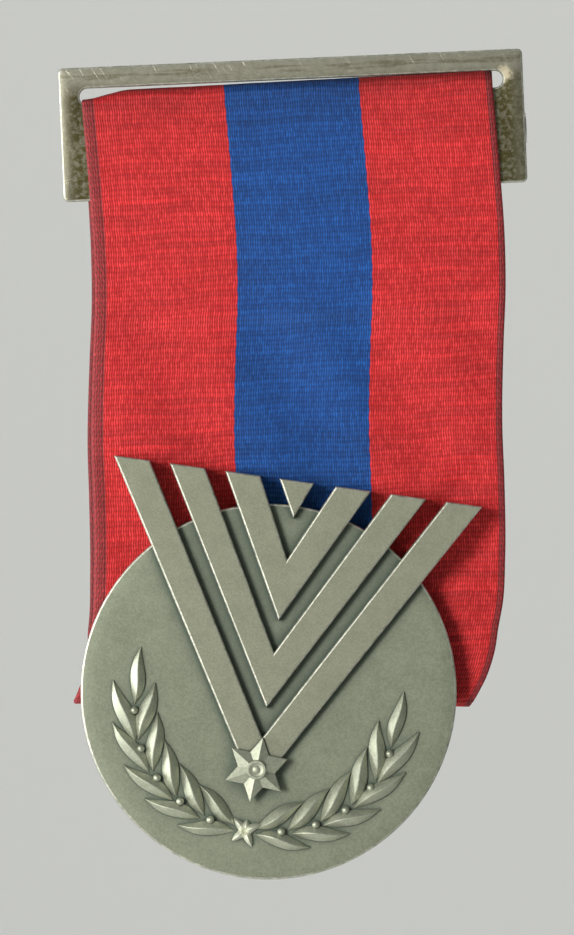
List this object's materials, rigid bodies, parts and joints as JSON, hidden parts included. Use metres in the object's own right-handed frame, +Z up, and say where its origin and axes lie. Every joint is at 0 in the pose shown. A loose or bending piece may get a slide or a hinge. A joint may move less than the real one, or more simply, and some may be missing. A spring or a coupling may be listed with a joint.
{
  "type": "military service medal",
  "caption": "Round medal with raised chevrons, star and laurel wreath, hanging on a looped striped ribbon from a slotted brooch plate with a hinged pin.",
  "frame": {"origin": "middle of the brooch pin's wire, behind the hanger plate", "axes": "+Z up as worn, +X along the pin from its hinge to its catch, -Y the way the face looks"},
  "size_m": [0.0446, 0.011, 0.0764],
  "materials": {
    "plate_nickel": "worn nickel plate with brown tarnish round the ribbon",
    "pin_steel": "drawn steel wire",
    "ribbon_cloth": "ribbed silk weave in three equal stripes, red, blue and red",
    "seam_thread": "sewing thread",
    "medal_field": "matt sandblasted nickel silver, darkened",
    "medal_relief": "satin nickel silver with bright worn edges"
  },
  "bodies": {
    "hanger": {"hanger_plate": "plate_nickel", "pin_hinge_bracket": "plate_nickel", "pin_hinge_rivet": "plate_nickel", "catch_housing": "plate_nickel", "ribbon_top_fold": "ribbon_cloth"},
    "pin": {"brooch_pin": "pin_steel"},
    "lock": {"catch_lock": "pin_steel"},
    "drape": {"ribbon_drop": "ribbon_cloth"},
    "medal": {"ribbon_lower_loop": "ribbon_cloth", "seam_stitches": "seam_thread", "medal_disc": "medal_field", "chevron_outer": "medal_relief", "chevron_second": "medal_relief", "chevron_third": "medal_relief", "chevron_centre": "medal_relief", "six_point_star": "medal_relief", "star_boss": "medal_relief", "wreath_branch_left": "medal_relief", "wreath_branch_right": "medal_relief", "wreath_knot": "medal_relief", "back_lugs": "medal_field", "lug_rod": "pin_steel"}
  },
  "joints": [
    {"name": "pin_swing", "type": "hinge", "parent": "hanger", "child": "pin", "pos_m": [-0.0208, 0, 0], "axis": [0, 0, 1], "range_deg": [0, 110]},
    {"name": "lock_turn", "type": "hinge", "parent": "hanger", "child": "lock", "pos_m": [0.0208, 0, 0], "axis": [1, 0, 0], "range_deg": [0, 110]},
    {"name": "ribbon_swing", "type": "hinge", "parent": "hanger", "child": "drape", "pos_m": [0, -0.0036, -0.0066], "axis": [-1, 0, 0], "range_deg": [-40, 75]},
    {"name": "medal_swing", "type": "hinge", "parent": "drape", "child": "medal", "pos_m": [0, -0.0036, -0.028], "axis": [-1, 0, 0], "range_deg": [-40, 40]}
  ]
}
